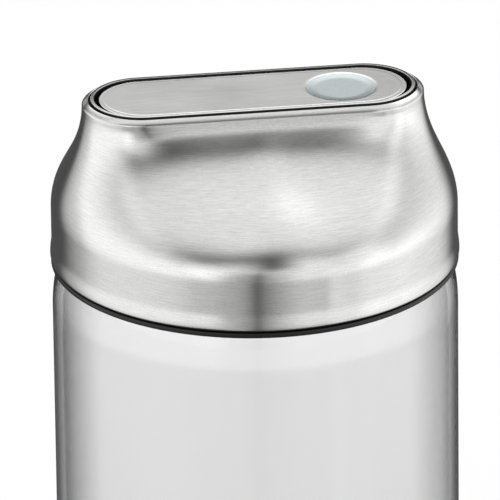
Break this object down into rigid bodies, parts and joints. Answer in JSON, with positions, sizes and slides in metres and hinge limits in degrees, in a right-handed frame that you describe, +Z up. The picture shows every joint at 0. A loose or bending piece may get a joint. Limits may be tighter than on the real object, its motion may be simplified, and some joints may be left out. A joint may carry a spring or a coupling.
{
  "type": "food storage jar",
  "caption": "Round clear glass food jar with a push-on brushed steel lid, black core and seal, and an oval rocking flap with a finger dimple that opens a pour duct.",
  "frame": {"origin": "centre of the jar's foot, on the surface it stands on", "axes": "+Z up along the jar's axis, +X towards the flap's dimpled press end, -Y towards the front in the picture"},
  "size_m": [0.11, 0.11, 0.2065],
  "materials": {
    "clear_glass": "clear and polished",
    "brushed_steel": "fine brushed stainless steel",
    "polished_steel": "bright stainless steel",
    "black_plastic": "satin black moulded plastic",
    "silicone": "milky soft silicone"
  },
  "bodies": {
    "jar": {"jar_glass": "clear_glass"},
    "lid": {"lid_cover": "brushed_steel", "lid_core": "black_plastic", "jar_seal": "silicone", "trim_ring": "polished_steel", "pour_frame": "black_plastic", "duct_gasket": "silicone", "frame_screw_1": "polished_steel", "frame_screw_2": "polished_steel", "frame_screw_3": "polished_steel", "frame_screw_4": "polished_steel", "detent_spring": "polished_steel", "spring_screw": "polished_steel"},
    "flap": {"flap_plate": "brushed_steel", "flap_carrier": "black_plastic", "flap_seal": "silicone", "hinge_pin_front": "polished_steel", "hinge_pin_back": "polished_steel"}
  },
  "joints": [
    {"name": "lid_lift", "type": "slide", "parent": "jar", "child": "lid", "axis": [0, 0, 1], "range_m": [0, 0.06]},
    {"name": "flap_tilt", "type": "hinge", "parent": "lid", "child": "flap", "pos_m": [0.005, 0, 0.2013], "axis": [0, 1, 0], "range_deg": [0, 28]}
  ]
}
